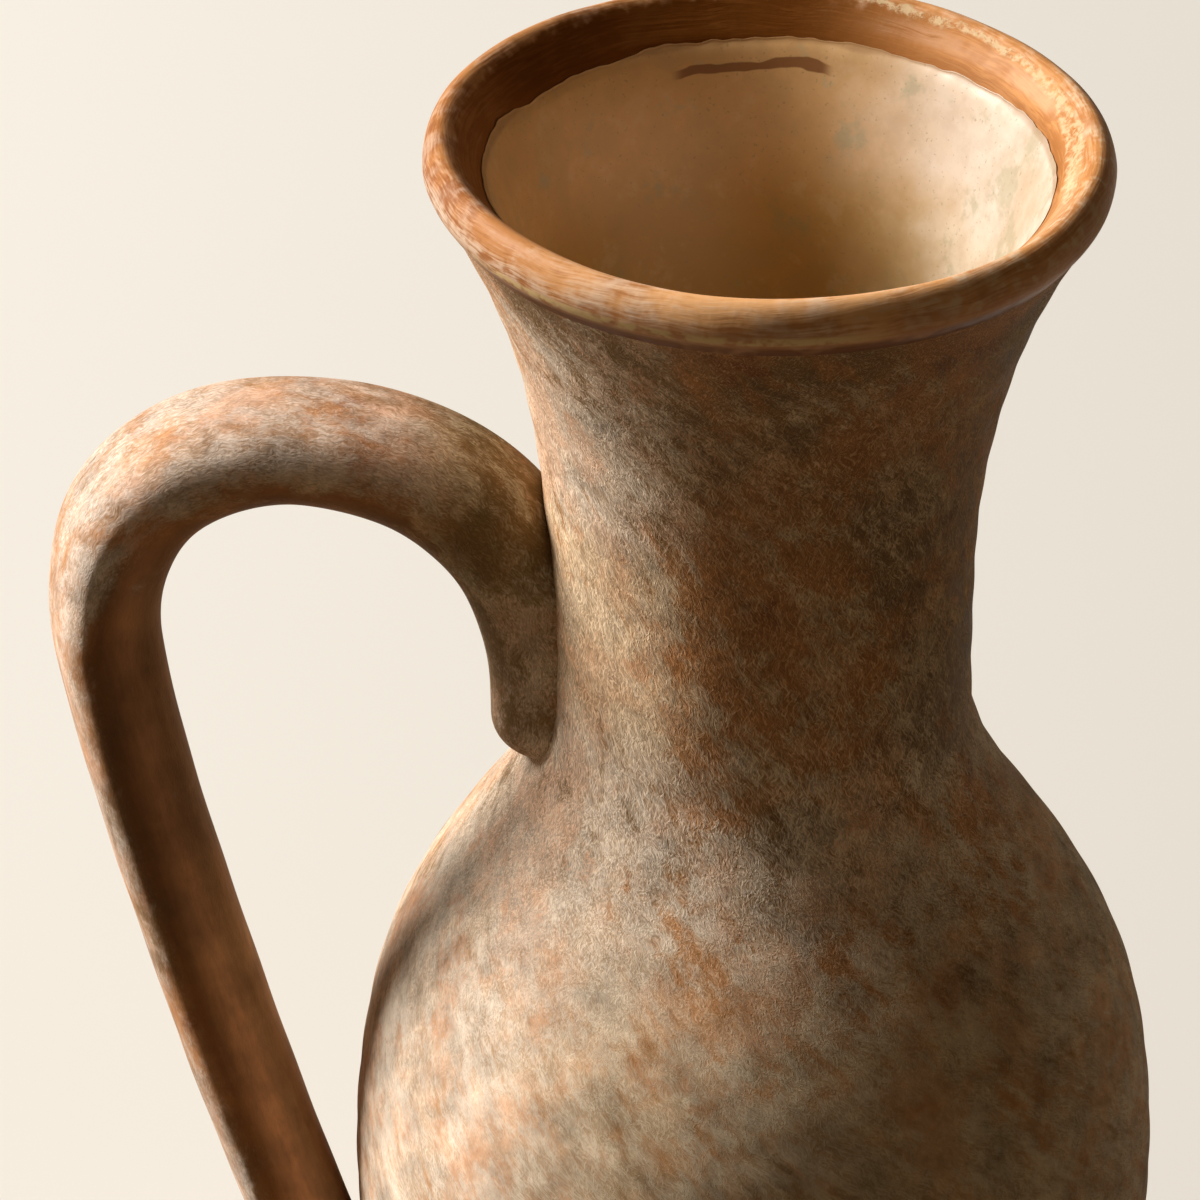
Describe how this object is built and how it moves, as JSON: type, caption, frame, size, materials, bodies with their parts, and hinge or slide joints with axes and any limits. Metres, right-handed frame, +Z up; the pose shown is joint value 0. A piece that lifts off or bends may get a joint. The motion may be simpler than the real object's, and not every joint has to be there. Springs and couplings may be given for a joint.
{
  "type": "stoneware jug",
  "caption": "Waisted stoneware jug with an egg-shaped belly, flared neck, rolled lip, glazed inside and a tall arched strap handle.",
  "frame": {"origin": "centre of the flat base, on the axis the pot was thrown on", "axes": "+Z up through the mouth; -X towards the handle; +Y completes a right-handed frame"},
  "size_m": [0.2027, 0.1496, 0.3],
  "materials": {
    "foot_clay": "bare fired terracotta clay, matt",
    "belly_slip": "terracotta under dry-brushed grey and cream slip, matt",
    "neck_slip": "terracotta under dry-brushed grey and cream slip, matt",
    "rim_clay": "brushed terracotta with worn pale patches, low sheen",
    "handle_slip": "terracotta under dry-brushed grey and cream slip, matt",
    "ivory_glaze": "glossy ivory glaze with fine dark specks"
  },
  "bodies": {
    "root": {"base_slab": "foot_clay", "belly": "belly_slip", "neck": "neck_slip", "rim_coil": "rim_clay", "handle": "handle_slip", "glaze_lining": "ivory_glaze"}
  },
  "joints": []
}
